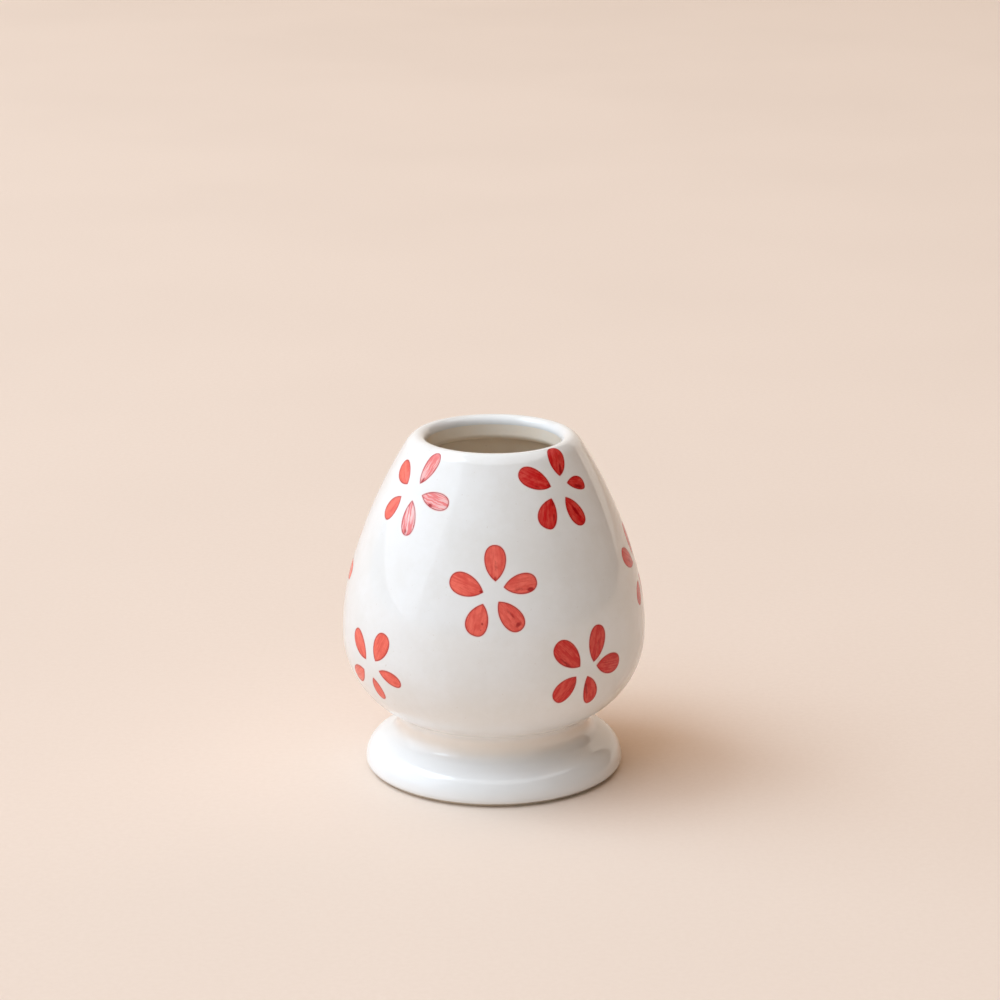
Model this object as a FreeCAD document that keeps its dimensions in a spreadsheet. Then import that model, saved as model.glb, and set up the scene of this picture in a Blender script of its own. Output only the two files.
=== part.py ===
import FreeCAD, Part
import math
import os

import Sketcher
from FreeCAD import Placement, Rotation, Vector

# Tea whisk holder: a hollow glazed bulb with a rolled lip on a flared foot, painted with five-petalled
# flowers. Millimetres, +Z up, the origin at the middle of the ring that it stands on, the front at -Y.
# The bulb and the foot are turned about Z. Their outer face is one meridian of tangent arcs, measured at
# the face of the glaze, and every layer under it is that meridian inset.

# Driving lengths, in millimetres
LENGTHS = {
    # the bulb, at the face of its glaze
    "total_height": 74.0,
    "belly_diameter": 65.0,
    "lower_belly_radius": 19.2,
    "belly_radius": 51.5,
    # the lip: a rolled crest round the mouth, and a wider arc down to the bulb's shoulder
    "mouth_diameter": 28.6,
    "lip_crest_radius": 1.8,
    "lip_shoulder_radius": 5.0,
    # the inside: the bead under the mouth stands in from the wall, and is rounded under
    "wall_thickness": 4.0,
    "throat_bead": 1.0,
    "throat_radius": 1.5,
    "under_lip_radius": 6.0,
    # the cove where the bulb meets the foot, the straight flare under it and the foot's rounds
    "neck_diameter": 41.0,
    "cove_radius": 3.5,
    "flare_length": 2.0,
    "foot_shoulder_radius": 5.2,
    "foot_edge_radius": 1.4,
    "foot_edge_height": 2.0,
    # the foot's wall and the bare ring that it stands on
    "foot_wall": 4.0,
    "ring_width": 2.2,
    # the glaze, and the height where it stops inside the foot
    "glaze_thickness": 0.25,
    "bare_height": 1.2,
}

# Driving angles, in degrees from level: the flare's slope, and where the glaze stops under the edge of
# the foot
ANGLES = {
    "flare_slope": 22.0,
    "glaze_stop_angle": 60.0,
}

# Driving shares: how much of the lean from belly to lip the belly's arc turns through, how much of the turn
# left above the bulb's shoulder the lip has made where its crest takes over, how long a petal is and how
# far up each row of flowers stands, both of the height from the neck to the crest, and in petal lengths
# how far along a petal its middle lies, how far along it the handle at its root stands, and how far a
# petal's prism reaches each way from the glaze
SHARES = {
    "belly_turn_share": 0.78,
    "crest_turn_share": 0.427,
    "upper_row_share": 0.90,
    "middle_row_share": 0.59,
    "lower_row_share": 0.30,
    "petal_length_share": 0.1222,
    "petal_middle_share": 0.5,
    "root_handle_share": 0.3,
    "prism_share": 0.3,
}

# What follows from the driving sizes. A name in _x is a centre's distance from the axis, one in _z its
# height. A level angle is 0 outwards, and the angles grow upwards.
WORKED = {
    "belly_edge": "belly_diameter / 2",
    "mouth_edge": "mouth_diameter / 2",
    "neck_edge": "neck_diameter / 2",
    # the foot and the cove, whose flare touches the foot's shoulder and the cove
    "flare_normal": "90 - flare_slope",
    "rounds_apart": "cove_radius + foot_shoulder_radius",
    "cove_x": "neck_edge + cove_radius",
    "cove_z": "foot_edge_height + rounds_apart * cos(flare_slope) + flare_length * sin(flare_slope)",
    "foot_shoulder_x": "cove_x + flare_length * cos(flare_slope) - rounds_apart * sin(flare_slope)",
    "foot_shoulder_z": "foot_edge_height",
    "foot_edge": "foot_shoulder_x + foot_shoulder_radius",
    "foot_edge_x": "foot_edge - foot_edge_radius",
    "foot_edge_z": "foot_edge_height",
    "ring_inner_edge": "foot_edge - foot_wall + glaze_thickness",
    "ring_outer_edge": "ring_inner_edge + ring_width",
    # the bulb's two arcs below and above its belly, the lower one touching the cove
    "low_belly_x": "belly_edge - lower_belly_radius",
    "low_belly_z": "cove_z + sqrt((lower_belly_radius + cove_radius)^2 - (cove_x - low_belly_x)^2)",
    "cove_turn": "atan2(low_belly_z - cove_z; low_belly_x - cove_x)",
    "belly_x": "belly_edge - belly_radius",
    "belly_z": "low_belly_z",
    # the crest of the lip, and where the belly's arc ends under it
    "crest_x": "mouth_edge + lip_crest_radius",
    "crest_z": "total_height - lip_crest_radius",
    "belly_turn": "belly_turn_share * atan2(belly_edge - crest_x - lip_crest_radius; crest_z - belly_z)",
    "belly_top_x": "belly_x + belly_radius * cos(belly_turn)",
    "belly_top_z": "belly_z + belly_radius * sin(belly_turn)",
    # how far an arc from there to the crest would turn, and the angle where the crest takes over
    "top_lean": "atan2(belly_top_x - crest_x - lip_crest_radius; crest_z - belly_top_z)",
    "top_turn": "2 * top_lean - belly_turn",
    "crest_angle": "top_turn + crest_turn_share * (90 deg - top_turn)",
    # the lip's shoulder
    "lip_x": "crest_x - (lip_shoulder_radius - lip_crest_radius) * cos(crest_angle)",
    "lip_z": "crest_z - (lip_shoulder_radius - lip_crest_radius) * sin(crest_angle)",
    # the bulb's shoulder, an arc that leaves the belly's arc smoothly and touches the lip
    "lip_depth": "(belly_top_x - lip_x) * cos(belly_turn) + (belly_top_z - lip_z) * sin(belly_turn)",
    "lip_apart": "sqrt((belly_top_x - lip_x)^2 + (belly_top_z - lip_z)^2)",
    "shoulder_radius": "(lip_apart^2 - lip_shoulder_radius^2) / (2 * (lip_depth - lip_shoulder_radius))",
    "shoulder_x": "belly_top_x - shoulder_radius * cos(belly_turn)",
    "shoulder_z": "belly_top_z - shoulder_radius * sin(belly_turn)",
    "shoulder_turn": "atan2(lip_z - shoulder_z; lip_x - shoulder_x)",
    # the round under the throat, and the arc that leads from it out to the wall
    "throat_x": "mouth_edge + throat_radius",
    "throat_apart": "shoulder_radius - wall_thickness - throat_bead + throat_radius",
    "throat_z": "shoulder_z + sqrt(throat_apart^2 - (throat_x - shoulder_x)^2)",
    "under_apart": "shoulder_radius - wall_thickness - under_lip_radius",
    "under_rounds": "throat_radius + under_lip_radius",
    "under_along": "(under_apart^2 - under_rounds^2 + throat_apart^2) / (2 * throat_apart)",
    "under_aside": "sqrt(under_apart^2 - under_along^2)",
    "throat_bearing": "atan2(throat_z - shoulder_z; throat_x - shoulder_x)",
    "under_lip_x": "shoulder_x + under_along * cos(throat_bearing) + under_aside * sin(throat_bearing)",
    "under_lip_z": "shoulder_z + under_along * sin(throat_bearing) - under_aside * cos(throat_bearing)",
    "under_turn": "atan2(under_lip_z - shoulder_z; under_lip_x - shoulder_x)",
    "throat_turn": "360 deg + atan2(under_lip_z - throat_z; under_lip_x - throat_x)",
    # the flowers
    "petal_length": "petal_length_share * (crest_z - cove_z)",
    "upper_row_height": "cove_z + upper_row_share * (crest_z - cove_z)",
    "middle_row_height": "cove_z + middle_row_share * (crest_z - cove_z)",
    "lower_row_height": "cove_z + lower_row_share * (crest_z - cove_z)",
}

# The five strokes of a flower. Each has the bearing of its root from the flower's middle and the bearing
# that it points along (degrees, 0 to the right, 90 up), and in petal lengths how far out its root lies,
# how long it is, and how far it bulges to its left and to its right, seen from the root
STROKE_SHARES = {
    "front": [
        (31, 6, 0.35, 0.95, 0.31, 0.265),
        (77, 92, 0.35, 1.00, 0.30, 0.325),
        (171, 160, 0.26, 1.00, 0.32, 0.315),
        (226, 259, 0.375, 0.92, 0.245, 0.37),
        (308, 307, 0.26, 1.005, 0.30, 0.285),
    ],
    "upper_left": [
        (-9, -11, 0.35, 0.94, 0.27, 0.215),
        (62, 74, 0.27, 1.00, 0.235, 0.235),
        (162, 143, 0.38, 0.86, 0.295, 0.26),
        (211, 244, 0.50, 0.84, 0.195, 0.295),
        (285, 280, 0.27, 1.00, 0.235, 0.235),
    ],
    "upper_right": [
        (17, -19, 0.34, 0.73, 0.26, 0.135),
        (65, 74, 0.365, 0.88, 0.34, 0.275),
        (160, 150, 0.27, 1.01, 0.285, 0.325),
        (213, 251, 0.415, 0.89, 0.195, 0.36),
        (293, 293, 0.29, 0.93, 0.235, 0.265),
    ],
    "lower_left": [
        (12, -17, 0.39, 0.85, 0.215, 0.19),
        (54, 64, 0.42, 0.955, 0.305, 0.285),
        (125, 128, 0.335, 0.945, 0.305, 0.24),
        (193, 210, 0.375, 0.85, 0.265, 0.25),
        (282, 283, 0.22, 0.72, 0.225, 0.19),
    ],
    "lower_right": [
        (5, -7, 0.335, 0.98, 0.30, 0.30),
        (34, 75, 0.28, 1.05, 0.30, 0.30),
        (155, 133, 0.27, 1.06, 0.34, 0.32),
        (202, 235, 0.395, 0.91, 0.225, 0.38),
        (274, 288, 0.21, 1.02, 0.27, 0.225),
    ],
    "side": [
        (3, -5, 0.34, 0.98, 0.29, 0.27),
        (72, 80, 0.33, 1.00, 0.29, 0.29),
        (136, 146, 0.285, 0.945, 0.31, 0.255),
        (240, 237, 0.39, 0.75, 0.205, 0.265),
        (303, 300, 0.30, 0.97, 0.28, 0.28),
    ],
}

# Each flower: its row, how far it stands over that row in petal lengths, its azimuth (degrees, 0 at the
# front and growing to the right), its set of strokes, and how far the whole set is turned (degrees)
FLOWER_SHARES = {
    "flower_upper_left": ("upper", -0.06, -48.0, "upper_left", 0),
    "flower_upper_right": ("upper", 0.11, 38.5, "upper_right", 0),
    "flower_upper_back_right": ("upper", -0.08, 125.0, "front", 40),
    "flower_upper_back_left": ("upper", 0.05, -141.0, "lower_right", 150),
    "flower_middle_front": ("middle", 0.13, -0.5, "front", 0),
    "flower_middle_right": ("middle", -0.20, 83.5, "side", 0),
    "flower_middle_back": ("middle", 0.08, 168.0, "upper_right", 200),
    "flower_middle_left": ("middle", -0.25, -99.0, "side", -3),
    "flower_lower_left": ("lower", -0.18, -53.0, "lower_left", 0),
    "flower_lower_right": ("lower", 0.17, 36.5, "lower_right", 0),
    "flower_lower_back_right": ("lower", -0.05, 127.0, "lower_left", 75),
    "flower_lower_back_left": ("lower", 0.12, -144.0, "front", -100),
}

FULL_TURN = 360.0
HALF_TURN = 180.0
QUARTER_TURN = 90.0
CLIMB_STEPS = 24
# A cubic curve's two middle handles stand out by this much of its bulge
HANDLE_RISE = 4 / 3
X_AXIS = Vector(1, 0, 0)
Z_AXIS = Vector(0, 0, 1)


def make_sheet(doc):
    """The driving sizes and what follows from them, one named cell each, and their values."""
    sheet = doc.addObject("Spreadsheet::Sheet", "Sizes")
    driving = {**LENGTHS, **ANGLES, **SHARES}
    cells = {name: str(value) for name, value in driving.items()}
    cells.update({name: f"={formula}" for name, formula in WORKED.items()})
    for row, (name, content) in enumerate(cells.items(), start=1):
        sheet.set(f"A{row}", name)
        sheet.set(f"B{row}", content)
        sheet.setAlias(f"B{row}", name)
    doc.recompute()
    return {name: float(sheet.get(name)) for name in cells}


def polar(radius, degrees):
    """A step of that radius at that angle, in the meridian plane."""
    return Vector(radius * math.cos(math.radians(degrees)), radius * math.sin(math.radians(degrees)), 0)


class Drawing:
    """A sketch in the XZ plane. An edge is known by its two ends, each an edge number and an end number."""

    def __init__(self, body, name, at):
        self.at = at
        self.sketch = body.newObject("Sketcher::SketchObject", name)
        plane = [item for item in body.Origin.OriginFeatures if item.Role == "XZ_Plane"][0]
        self.sketch.AttachmentSupport = [(plane, "")]
        self.sketch.MapMode = "FlatFace"

    def tie(self, kind, *points):
        """A relation without a size, between edges, ends or centres."""
        numbers = [number for point in points for number in point]
        self.sketch.addConstraint(Sketcher.Constraint(kind, *numbers))

    def size(self, kind, numbers, value, formula):
        """A size, tied to the sheet by its formula."""
        index = self.sketch.addConstraint(Sketcher.Constraint(kind, *numbers, value))
        self.sketch.setExpression(f"Constraints[{index}]", formula)

    def across(self, point, value, formula):
        self.size("DistanceX", (-1, 1, *point), value, formula)

    def up(self, point, value, formula):
        self.size("DistanceY", (-1, 1, *point), value, formula)

    def line(self, start, end):
        index = self.sketch.addGeometry(Part.LineSegment(start, end), False)
        return (index, 1), (index, 2)

    def arc(self, centre, radius, first, last, formula=None):
        """An arc about a named centre. Without a formula its radius follows from the edge before it."""
        middle = Vector(self.at[f"{centre}_x"], self.at[f"{centre}_z"], 0)
        low, high = math.radians(min(first, last)), math.radians(max(first, last))
        circle = Part.Circle(middle, Z_AXIS, radius)
        index = self.sketch.addGeometry(Part.ArcOfCircle(circle, low, high), False)
        self.across((index, 3), middle.x, f"Sizes.{centre}_x")
        self.up((index, 3), middle.y, f"Sizes.{centre}_z")
        if formula:
            self.size("Radius", (index,), radius, formula)
        ends = ((index, 1), (index, 2))
        return ends if first < last else ends[::-1]

    def chain(self, *edges):
        """Joins each edge smoothly to the next. Returns the two free ends."""
        for one, other in zip(edges, edges[1:]):
            self.tie("Tangent", one[1], other[0])
        return edges[0][0], edges[-1][1]

    def bridge(self, one, other):
        """A straight edge between two ends."""
        start, end = self.line(self.sketch.getPoint(*one), self.sketch.getPoint(*other))
        self.tie("Coincident", one, start)
        self.tie("Coincident", end, other)

    def level_to_axis(self, one):
        """A level edge from an end to the axis. Returns its end on the axis."""
        point = self.sketch.getPoint(*one)
        start, end = self.line(point, Vector(0, point.y, 0))
        self.tie("Coincident", one, start)
        self.tie("Horizontal", start[:1])
        self.tie("PointOnObject", end, (-2,))
        return end

    def turn(self, body, name):
        """The solid that the sketch sweeps in a full turn about Z."""
        feature = body.newObject("PartDesign::Revolution", name)
        feature.Profile = self.sketch
        feature.ReferenceAxis = (self.sketch, ["V_Axis"])
        feature.Angle = FULL_TURN


def draw_flare(drawing, inset):
    """The straight flare, from the foot's shoulder up to the cove."""
    at = drawing.at
    low = Vector(at["foot_shoulder_x"], at["foot_shoulder_z"], 0)
    low += polar(at["foot_shoulder_radius"] - inset, at["flare_normal"])
    high = Vector(at["cove_x"], at["cove_z"], 0)
    high += polar(at["cove_radius"] + inset, at["flare_normal"] + HALF_TURN)
    return drawing.line(low, high)


def draw_foot(drawing, inset, thinner):
    """The outer face of the foot, from where its glaze stops up to the end of the flare."""
    at = drawing.at
    edge_radius = at["foot_edge_radius"] - inset
    edge = drawing.arc("foot_edge", edge_radius, -at["glaze_stop_angle"], 0,
                       f"Sizes.foot_edge_radius{thinner}")
    stop = at["foot_edge_z"] + polar(edge_radius, -at["glaze_stop_angle"]).y
    drawing.up(edge[0], stop,
               f"Sizes.foot_edge_z - (Sizes.foot_edge_radius{thinner}) * sin(Sizes.glaze_stop_angle)")
    shoulder = drawing.arc("foot_shoulder", at["foot_shoulder_radius"] - inset, 0, at["flare_normal"])
    return drawing.chain(edge, shoulder, draw_flare(drawing, inset))


def draw_recess(drawing, inset, thicker, start):
    """The hollow of the foot, from its wall's foot at a named height up to the end of the flare."""
    at = drawing.at
    edge = at["foot_edge"] - inset
    height = at[start] if start else 0
    wall = drawing.line(Vector(edge, height, 0), Vector(edge, at["foot_shoulder_z"], 0))
    drawing.tie("Vertical", wall[0][:1])
    drawing.across(wall[0], edge, f"Sizes.foot_edge - Sizes.foot_wall{thicker}")
    if start:
        drawing.up(wall[0], height, f"Sizes.{start}")
    else:
        drawing.tie("PointOnObject", wall[0], (-1,))
    shoulder = drawing.arc("foot_shoulder", at["foot_shoulder_radius"] - inset, 0, at["flare_normal"])
    return drawing.chain(wall, shoulder, draw_flare(drawing, inset))


def draw_cove(drawing, inset, formula, first, last):
    """The cove between two angles. An angle of half a turn is the neck."""
    cove = drawing.arc("cove", drawing.at["cove_radius"] + inset, first, last, formula)
    for end, angle in zip(cove, (first, last)):
        if angle == HALF_TURN:
            drawing.tie("Horizontal", end, (end[0], 3))
    return cove


def draw_bulb(drawing, inset):
    """The bulb's outer arcs, from the cove up over the crest of the lip."""
    at = drawing.at
    low = drawing.arc("low_belly", at["lower_belly_radius"] - inset, at["cove_turn"] - HALF_TURN, 0)
    belly = drawing.arc("belly", at["belly_radius"] - inset, 0, at["belly_turn"])
    shoulder = drawing.arc("shoulder", at["shoulder_radius"] - inset, at["belly_turn"], at["shoulder_turn"])
    lip = drawing.arc("lip", at["lip_shoulder_radius"] - inset, at["shoulder_turn"], at["crest_angle"])
    crest = drawing.arc("crest", at["lip_crest_radius"] - inset, at["crest_angle"], HALF_TURN)
    return low, belly, shoulder, lip, crest


def draw_hollow(drawing, depth):
    """The inside, from the mouth down to the middle of the floor."""
    at = drawing.at
    wall = at["wall_thickness"] - depth
    edge = at["mouth_edge"] + depth
    throat = drawing.line(Vector(edge, at["crest_z"], 0), Vector(edge, at["throat_z"], 0))
    bead = drawing.arc("throat", at["throat_radius"] - depth, HALF_TURN, at["throat_turn"])
    under = drawing.arc("under_lip", at["under_lip_radius"] + depth,
                        at["throat_turn"] - HALF_TURN, at["under_turn"])
    shoulder = drawing.arc("shoulder", at["shoulder_radius"] - wall, at["under_turn"], at["belly_turn"])
    belly = drawing.arc("belly", at["belly_radius"] - wall, at["belly_turn"], 0)
    low = drawing.arc("low_belly", at["lower_belly_radius"] - wall, 0, -QUARTER_TURN)
    floor_height = at["low_belly_z"] - at["lower_belly_radius"] + wall
    floor = drawing.line(Vector(at["low_belly_x"], floor_height, 0), Vector(0, floor_height, 0))
    drawing.tie("Vertical", throat[0][:1])
    drawing.tie("Horizontal", floor[0][:1])
    drawing.tie("PointOnObject", floor[1], (-2,))
    return throat, bead, under, shoulder, belly, low, floor


def new_body(doc, name):
    body = doc.addObject("PartDesign::Body", name)
    body.Label = name
    body.Placement = Placement()
    return body


def make_bulb(doc, at):
    """The fired clay of the bulb, solid under its hollow down to the neck."""
    body = new_body(doc, "bulb")
    drawing = Drawing(body, "bulb_meridian", at)
    glaze = at["glaze_thickness"]
    cove = draw_cove(drawing, glaze, "Sizes.cove_radius + Sizes.glaze_thickness", HALF_TURN, at["cove_turn"])
    neck, middle = drawing.chain(cove, *draw_bulb(drawing, glaze), *draw_hollow(drawing, glaze))
    drawing.bridge(middle, drawing.level_to_axis(neck))
    drawing.turn(body, "bulb_turned")
    return body


def make_foot(doc, at):
    """The fired clay of the foot: a flared ring, open underneath, with a bevelled ring to stand on."""
    body = new_body(doc, "foot")
    drawing = Drawing(body, "foot_meridian", at)
    glaze = at["glaze_thickness"]
    inner = at["foot_wall"] - glaze
    cove_start = at["flare_normal"] + HALF_TURN
    edge, flare = draw_foot(drawing, glaze, " - Sizes.glaze_thickness")
    cove = draw_cove(drawing, glaze, "Sizes.cove_radius + Sizes.glaze_thickness", cove_start, HALF_TURN)
    drawing.tie("Tangent", flare, cove[0])
    ring, recess_flare = draw_recess(drawing, inner, " + Sizes.glaze_thickness", None)
    recess = draw_cove(drawing, inner, "Sizes.cove_radius + Sizes.foot_wall - Sizes.glaze_thickness",
                       cove_start, HALF_TURN)
    drawing.tie("Tangent", recess_flare, recess[0])
    drawing.bridge(cove[1], recess[1])
    start, end = drawing.line(drawing.sketch.getPoint(*ring), Vector(at["ring_outer_edge"], 0, 0))
    drawing.tie("Coincident", ring, start)
    drawing.tie("Horizontal", start[:1])
    drawing.across(end, at["ring_outer_edge"], "Sizes.ring_outer_edge")
    drawing.bridge(end, edge)
    drawing.turn(body, "foot_turned")
    return body


def make_glaze_blank(doc, at):
    """The coat over the bulb and the foot, before its painted places are taken out."""
    body = new_body(doc, "glaze_blank")
    drawing = Drawing(body, "glaze_meridian", at)
    ends = []
    layers = ((0, "", ""), (at["glaze_thickness"], " - Sizes.glaze_thickness", " + Sizes.glaze_thickness"))
    for inset, thinner, thicker in layers:
        edge, flare = draw_foot(drawing, inset, thinner)
        cove = draw_cove(drawing, inset, f"Sizes.cove_radius{thicker}",
                         at["flare_normal"] + HALF_TURN, at["cove_turn"])
        drawing.tie("Tangent", flare, cove[0])
        top = drawing.chain(cove, *draw_bulb(drawing, inset))[1]
        drawing.tie("Horizontal", top, (top[0], 3))
        ends.append((edge, top))
    drawing.bridge(ends[0][0], ends[1][0])
    drawing.bridge(ends[0][1], ends[1][1])
    drawing.turn(body, "glaze_turned")
    return body


def make_liner(doc, at):
    """The coat inside the bulb, from the lip's inner side down over the floor."""
    body = new_body(doc, "liner_glaze")
    drawing = Drawing(body, "liner_meridian", at)
    ends = []
    for depth, thicker in ((0, ""), (at["glaze_thickness"], " + Sizes.glaze_thickness")):
        mouth, middle = drawing.chain(*draw_hollow(drawing, depth))
        drawing.across(mouth, at["mouth_edge"] + depth, f"Sizes.mouth_edge{thicker}")
        drawing.up(mouth, at["crest_z"], "Sizes.crest_z")
        ends.append((mouth, middle))
    drawing.bridge(ends[0][0], ends[1][0])
    drawing.bridge(ends[0][1], ends[1][1])
    drawing.turn(body, "liner_turned")
    return body


def make_underside_glaze(doc, at):
    """The coat in the hollow of the foot and over the underside of the bulb."""
    body = new_body(doc, "underside_glaze")
    drawing = Drawing(body, "underside_meridian", at)
    wall, glaze = at["foot_wall"], at["glaze_thickness"]
    cove_start = at["flare_normal"] + HALF_TURN
    ceiling = HALF_TURN + math.degrees(math.asin(glaze / (at["cove_radius"] + wall)))
    face, face_flare = draw_recess(drawing, wall, "", "bare_height")
    face_cove = draw_cove(drawing, wall, "Sizes.cove_radius + Sizes.foot_wall", cove_start, ceiling)
    drawing.tie("Tangent", face_flare, face_cove[0])
    drawing.up(face_cove[1], at["cove_z"] - glaze, "Sizes.cove_z - Sizes.glaze_thickness")
    back, back_flare = draw_recess(drawing, wall - glaze, " + Sizes.glaze_thickness", "bare_height")
    back_cove = draw_cove(drawing, wall - glaze, "Sizes.cove_radius + Sizes.foot_wall - Sizes.glaze_thickness",
                          cove_start, HALF_TURN)
    drawing.tie("Tangent", back_flare, back_cove[0])
    drawing.bridge(face, back)
    drawing.bridge(drawing.level_to_axis(face_cove[1]), drawing.level_to_axis(back_cove[1]))
    drawing.turn(body, "underside_turned")
    return body


def face_at(at, height):
    """Radius and outward angle of the bulb's face at a height."""
    shoulder_top = at["shoulder_z"] + polar(at["shoulder_radius"], at["shoulder_turn"]).y
    if height < at["low_belly_z"]:
        name, radius = "low_belly", at["lower_belly_radius"]
    elif height < at["belly_top_z"]:
        name, radius = "belly", at["belly_radius"]
    elif height < shoulder_top:
        name, radius = "shoulder", at["shoulder_radius"]
    else:
        name, radius = "lip", at["lip_shoulder_radius"]
    outward = math.asin((height - at[f"{name}_z"]) / radius)
    return at[f"{name}_x"] + radius * math.cos(outward), math.degrees(outward)


def climb(at, height, rise):
    """The height that is that far up along the face."""
    for _ in range(CLIMB_STEPS):
        height += rise / CLIMB_STEPS * math.cos(math.radians(face_at(at, height)[1]))
    return height


def spot(at, height, azimuth, turn):
    """A place on the face, with X along the turned stroke and Z out of the face."""
    radius, outward = face_at(at, height)
    around = Placement(Vector(), Rotation(Z_AXIS, azimuth))
    tilt = Placement(Vector(0, -radius, height), Rotation(X_AXIS, QUARTER_TURN - outward))
    return around * tilt * Placement(Vector(), Rotation(Z_AXIS, turn))


def petal_prism(at, length, left, right):
    """A petal's outline, blunt at the root and round at the end, as a prism through the glaze."""
    depth = -at["prism_share"] * at["petal_length"]
    root = Vector(-at["petal_middle_share"] * length, 0, depth)
    tip = root + Vector(length, 0, 0)
    root_handle = root + Vector(at["root_handle_share"] * length, 0, 0)
    edges = []
    for bulge in (left, -right):
        rise = Vector(0, HANDLE_RISE * bulge, 0)
        side = Part.BezierCurve()
        side.setPoles([root, root_handle + rise, tip + rise, tip])
        edges.append(side.toShape())
    return Part.Face(Part.Wire(edges)).extrude(Vector(0, 0, -2 * depth))


def make_strokes(doc, at, name):
    """The five prisms of a flower."""
    row, lift, azimuth, strokes, turned = FLOWER_SHARES[name]
    height = climb(at, at[f"{row}_row_height"], lift * at["petal_length"])
    radius = face_at(at, height)[0]
    prisms = []
    for root_bearing, bearing, *shares in STROKE_SHARES[strokes]:
        reach, length, left, right = (share * at["petal_length"] for share in shares)
        step = polar(reach, root_bearing + turned)
        step += polar(at["petal_middle_share"] * length, bearing + turned)
        stroke_height = climb(at, height, step.y)
        between = (radius + face_at(at, stroke_height)[0]) / 2
        stroke_azimuth = azimuth + math.degrees(step.x / between)
        prism = petal_prism(at, length, left, right)
        prism.Placement = spot(at, stroke_height, stroke_azimuth, bearing + turned)
        prisms.append(prism)
    feature = doc.addObject("Part::Feature", f"{name}_strokes")
    feature.Shape = Part.makeCompound(prisms)
    feature.Placement = Placement()
    return feature


def make_flower(doc, name, blank, strokes):
    """The painted part of the coat: it fills the coat's thickness, flush with its face."""
    flower = doc.addObject("Part::Common", name)
    flower.Label = name
    flower.Base = blank
    flower.Tool = strokes
    flower.Placement = Placement()
    return flower


def make_outer_glaze(doc, blank, strokes):
    """The coat without its painted places."""
    tools = doc.addObject("Part::Compound", "all_strokes")
    tools.Links = strokes
    coat = doc.addObject("Part::Cut", "outer_glaze")
    coat.Label = "outer_glaze"
    coat.Base = blank
    coat.Tool = tools
    coat.Placement = Placement()
    return coat


def check_and_export(doc, nodes):
    """Stops on a broken feature, and writes one file for each sub-part."""
    for item in doc.Objects:
        if {"Invalid", "Error"} & set(item.State):
            raise RuntimeError(f"{item.Name} did not compute: {item.State}")
    os.makedirs("parts", exist_ok=True)
    for node in nodes:
        shape = node.Shape
        if shape.isNull() or not shape.isValid() or not shape.Solids:
            raise RuntimeError(f"{node.Label} has no sound solid")
        shape.exportStep(f"parts/{node.Label}.step")
        print(node.Label, len(shape.Solids), round(shape.Volume, 2))


def main():
    doc = FreeCAD.newDocument("tea_whisk_holder")
    at = make_sheet(doc)
    bodies = [make_bulb(doc, at), make_foot(doc, at), make_liner(doc, at), make_underside_glaze(doc, at)]
    blank = make_glaze_blank(doc, at)
    doc.recompute()
    strokes = [make_strokes(doc, at, name) for name in FLOWER_SHARES]
    flowers = [make_flower(doc, name, blank, tool) for name, tool in zip(FLOWER_SHARES, strokes)]
    coat = make_outer_glaze(doc, blank, strokes)
    doc.recompute()
    check_and_export(doc, bodies + [coat] + flowers)


main()
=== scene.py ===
import math

import bpy
import numpy as np
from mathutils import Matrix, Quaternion, Vector
from mathutils.geometry import delaunay_2d_cdt


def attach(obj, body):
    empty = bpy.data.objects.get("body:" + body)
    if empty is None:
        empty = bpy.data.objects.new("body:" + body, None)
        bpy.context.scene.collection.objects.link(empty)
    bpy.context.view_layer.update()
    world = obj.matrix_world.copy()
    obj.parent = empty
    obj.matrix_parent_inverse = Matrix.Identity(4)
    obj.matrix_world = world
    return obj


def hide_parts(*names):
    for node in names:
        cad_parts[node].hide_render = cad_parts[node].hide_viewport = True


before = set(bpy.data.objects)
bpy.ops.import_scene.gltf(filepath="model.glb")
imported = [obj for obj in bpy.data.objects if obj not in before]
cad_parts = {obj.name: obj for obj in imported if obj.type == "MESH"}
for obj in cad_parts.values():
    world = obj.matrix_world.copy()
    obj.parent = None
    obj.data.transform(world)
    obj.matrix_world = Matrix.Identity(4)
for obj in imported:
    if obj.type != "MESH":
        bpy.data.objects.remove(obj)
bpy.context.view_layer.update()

# Tea whisk holder: the clay is the CAD's own. The glaze coats and the painted petals are made here again,
# on the same meridian of tangent arcs, with exact normals and finer outlines.
MM = 0.001

# Sizes in millimetres, the same as the CAD's
SIZES = {
    "total_height": 74.0,
    "belly_diameter": 65.0,
    "lower_belly_radius": 19.2,
    "belly_radius": 51.5,
    "mouth_diameter": 28.6,
    "lip_crest_radius": 1.8,
    "lip_shoulder_radius": 5.0,
    "wall_thickness": 4.0,
    "throat_bead": 1.0,
    "throat_radius": 1.5,
    "under_lip_radius": 6.0,
    "neck_diameter": 41.0,
    "cove_radius": 3.5,
    "flare_length": 2.0,
    "foot_shoulder_radius": 5.2,
    "foot_edge_radius": 1.4,
    "foot_edge_height": 2.0,
    "foot_wall": 4.0,
    "glaze_thickness": 0.25,
    "bare_height": 1.2,
}
FLARE_SLOPE = 22.0
GLAZE_STOP_ANGLE = 60.0
BELLY_TURN_SHARE = 0.78
CREST_TURN_SHARE = 0.427
PETAL_LENGTH_SHARE = 0.1222
ROW_SHARES = {"upper": 0.90, "middle": 0.59, "lower": 0.30}
ROOT_HANDLE_SHARE = 0.3
HANDLE_RISE = 4 / 3

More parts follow.
